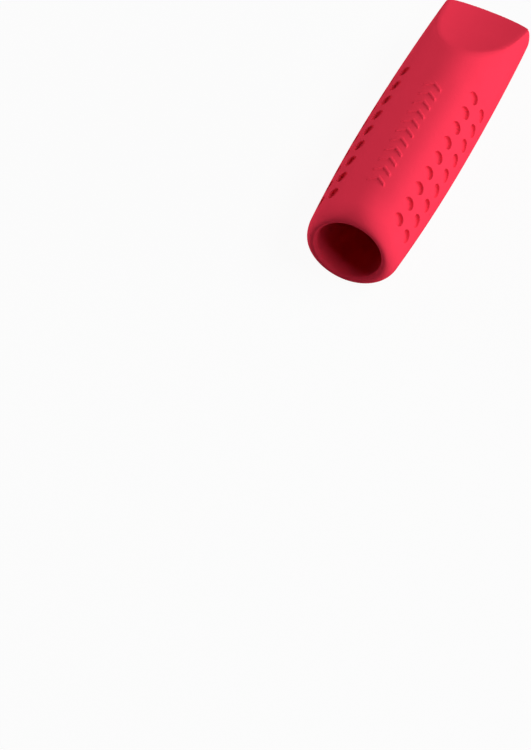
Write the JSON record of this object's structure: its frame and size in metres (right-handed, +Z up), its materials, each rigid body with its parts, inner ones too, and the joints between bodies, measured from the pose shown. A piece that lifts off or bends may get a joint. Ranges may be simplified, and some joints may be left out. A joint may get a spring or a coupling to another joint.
{
  "type": "cap eraser",
  "caption": "Soft cap eraser with a blind round socket, three dimpled grip faces and a dished chisel tip.",
  "frame": {"origin": "centre of the bounding box's bottom face, on the surface that the cap lies on", "axes": "+Y along the cap's length from the socket mouth towards the chisel tip, +Z up through one soft corner of the three-cornered body, +X to the right"},
  "size_m": [0.0126, 0.045, 0.0125],
  "materials": {
    "soft_eraser": "matte, very fine moulded grain"
  },
  "bodies": {
    "root": {"eraser_cap": "soft_eraser"}
  },
  "joints": []
}
